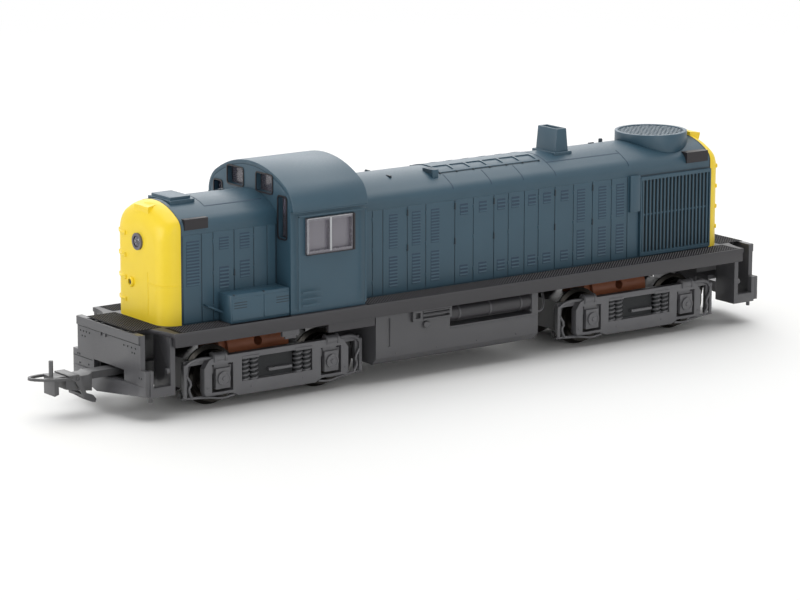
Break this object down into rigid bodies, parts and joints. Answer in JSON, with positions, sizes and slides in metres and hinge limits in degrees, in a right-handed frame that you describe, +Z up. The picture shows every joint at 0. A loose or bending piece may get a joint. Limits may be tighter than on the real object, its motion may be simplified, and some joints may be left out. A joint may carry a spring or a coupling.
{
  "type": "scale model diesel locomotive",
  "caption": "HO scale model of a road-switcher diesel locomotive with short and long hoods, offset cab, swivelling trucks, turning wheelsets and a hook-and-loop front coupler.",
  "frame": {"origin": "midway between the two truck pivots, on the centre line, at the lowest point of the wheel flanges", "axes": "+X forward, towards the short hood and the front coupler; +Y to the left side; +Z up"},
  "size_m": [0.2009, 0.0344, 0.0524],
  "materials": {
    "blue_shell": "satin paint on moulded styrene",
    "yellow_shell": "satin paint on moulded styrene",
    "underframe_black": "moulded styrene, semi-gloss",
    "running_gear_black": "moulded acetal, satin",
    "truck_grey": "moulded styrene, satin",
    "brown_tower": "moulded acetal, satin",
    "wheel_steel": "turned",
    "silver_trim": "silver paint",
    "clear_glazing": "clear moulded polystyrene",
    "gloss_black": "gloss",
    "motor_steel": "plain"
  },
  "bodies": {
    "locomotive": {"walkway": "underframe_black", "chassis_spine": "running_gear_black", "front_pilot": "underframe_black", "rear_pilot": "underframe_black", "front_steps": "underframe_black", "rear_steps": "underframe_black", "fuel_tank": "underframe_black", "air_reservoirs": "underframe_black", "tank_brackets": "underframe_black", "short_hood": "blue_shell", "front_end": "yellow_shell", "short_hood_hatch": "blue_shell", "battery_box_left": "blue_shell", "battery_box_right": "blue_shell", "cab_body": "blue_shell", "cab_roof": "blue_shell", "side_window_frames": "silver_trim", "side_glazing": "clear_glazing", "front_glazing": "clear_glazing", "rear_glazing": "clear_glazing", "long_hood": "blue_shell", "rear_end": "yellow_shell", "shutter_panels": "blue_shell", "radiator_grille_left": "blue_shell", "radiator_grille_right": "blue_shell", "fan_shroud": "blue_shell", "fan_grille": "gloss_black", "exhaust_stack": "blue_shell", "roof_vent": "blue_shell", "roof_hatch_frames": "blue_shell", "front_number_boards": "gloss_black", "rear_number_boards": "gloss_black", "front_headlight": "silver_trim", "rear_headlight": "silver_trim", "motor": "motor_steel", "coupler_pocket": "running_gear_black"},
    "front_truck": {"front_truck_frame_left": "truck_grey", "front_truck_frame_right": "truck_grey", "front_truck_gearcase": "running_gear_black", "front_truck_tower": "brown_tower"},
    "rear_truck": {"rear_truck_frame_left": "truck_grey", "rear_truck_frame_right": "truck_grey", "rear_truck_gearcase": "running_gear_black", "rear_truck_tower": "brown_tower"},
    "wheels_1": {"wheelset_1": "wheel_steel"},
    "wheels_2": {"wheelset_2": "wheel_steel"},
    "wheels_3": {"wheelset_3": "wheel_steel"},
    "wheels_4": {"wheelset_4": "wheel_steel"},
    "coupler": {"coupler_head": "running_gear_black"},
    "loop": {"coupler_loop": "running_gear_black"}
  },
  "joints": [
    {"name": "front_truck_swivel", "type": "hinge", "parent": "locomotive", "child": "front_truck", "pos_m": [0.0526, 0, 0.0166], "axis": [0, 0, 1], "range_deg": [-7, 7]},
    {"name": "rear_truck_swivel", "type": "hinge", "parent": "locomotive", "child": "rear_truck", "pos_m": [-0.0526, 0, 0.0166], "axis": [0, 0, 1], "range_deg": [-7, 7]},
    {"name": "wheels_1_spin", "type": "hinge", "parent": "front_truck", "child": "wheels_1", "pos_m": [0.06725, 0, 0.0068], "axis": [0, 1, 0], "continuous": true},
    {"name": "wheels_2_spin", "type": "hinge", "parent": "front_truck", "child": "wheels_2", "pos_m": [0.03795, 0, 0.0068], "axis": [0, 1, 0], "continuous": true},
    {"name": "wheels_3_spin", "type": "hinge", "parent": "rear_truck", "child": "wheels_3", "pos_m": [-0.03795, 0, 0.0068], "axis": [0, 1, 0], "continuous": true},
    {"name": "wheels_4_spin", "type": "hinge", "parent": "rear_truck", "child": "wheels_4", "pos_m": [-0.06725, 0, 0.0068], "axis": [0, 1, 0], "continuous": true},
    {"name": "coupler_swing", "type": "hinge", "parent": "locomotive", "child": "coupler", "pos_m": [0.083, 0, 0.0091], "axis": [0, 0, 1], "range_deg": [-10, 10]},
    {"name": "loop_lift", "type": "hinge", "parent": "coupler", "child": "loop", "pos_m": [0.0985, 0, 0.0092], "axis": [0, -1, 0], "range_deg": [0, 20]}
  ]
}
